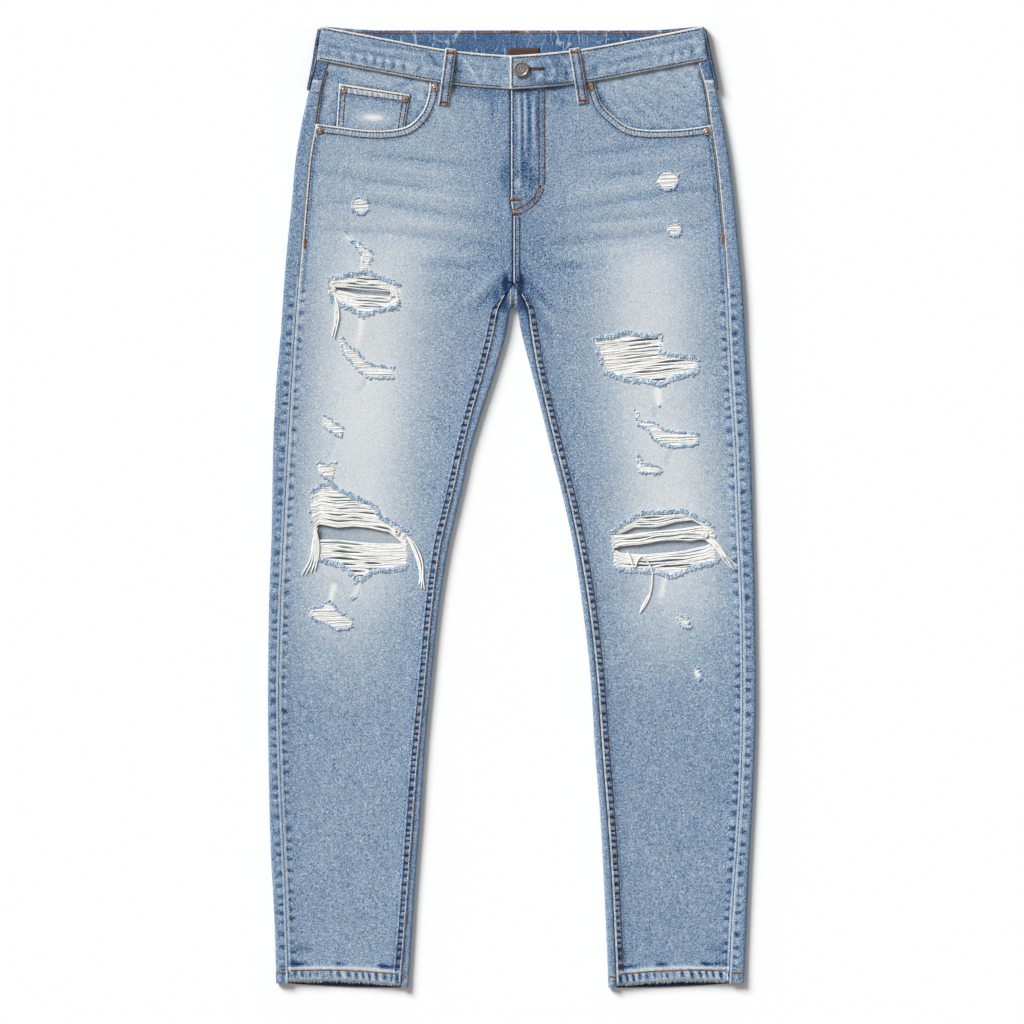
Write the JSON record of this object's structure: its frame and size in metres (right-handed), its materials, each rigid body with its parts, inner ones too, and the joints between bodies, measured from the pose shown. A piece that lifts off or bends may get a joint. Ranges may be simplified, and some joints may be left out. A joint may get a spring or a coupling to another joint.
{
  "type": "ripped jeans",
  "caption": "Slim light-wash denim jeans with ripped thighs and knees, laid flat front up, with a buttoned waistband, belt loops, pockets and hanging threads.",
  "frame": {"origin": "on the table, under the middle of the garment's box", "axes": "+X to the wearer's left, +Y up to the waist, +Z away from the table, out of the garment's front"},
  "size_m": [0.5266, 1.038, 0.015],
  "materials": {
    "denim": "light-wash cotton twill, faded and worn",
    "label": "plain dark brown, bare",
    "button_metal": "antique grey, dull",
    "rivet_metal": "antique copper, dull",
    "cotton_thread": "undyed cotton thread",
    "topstitch": "tan and copper sewing thread"
  },
  "bodies": {
    "root": {"front_panel_right": "denim", "front_panel_left": "denim", "back_panel_right": "denim", "back_panel_left": "denim", "back_yoke_right": "denim", "back_yoke_left": "denim", "back_pocket_right": "denim", "back_pocket_left": "denim", "pocket_facing_right": "denim", "pocket_facing_left": "denim", "coin_pocket": "denim", "waistband": "denim", "belt_loop_front_right": "denim", "belt_loop_front_left": "denim", "belt_loop_side_right": "denim", "belt_loop_side_left": "denim", "belt_loop_back": "denim", "waist_label": "label", "waist_button": "button_metal", "rivet_right_inner": "rivet_metal", "rivet_right_outer": "rivet_metal", "rivet_left_inner": "rivet_metal", "rivet_left_outer": "rivet_metal", "rivet_coin_outer": "rivet_metal", "rivet_coin_inner": "rivet_metal", "rip_threads_right_thigh": "cotton_thread", "rip_threads_right_knee": "cotton_thread", "rip_threads_left_thigh": "cotton_thread", "rip_threads_left_knee": "cotton_thread", "right_thigh_tassel": "cotton_thread", "right_knee_outer_tassel": "cotton_thread", "right_knee_inner_tassel": "cotton_thread", "left_knee_inner_tassel": "cotton_thread", "left_knee_outer_tassel": "cotton_thread"}
  },
  "joints": []
}
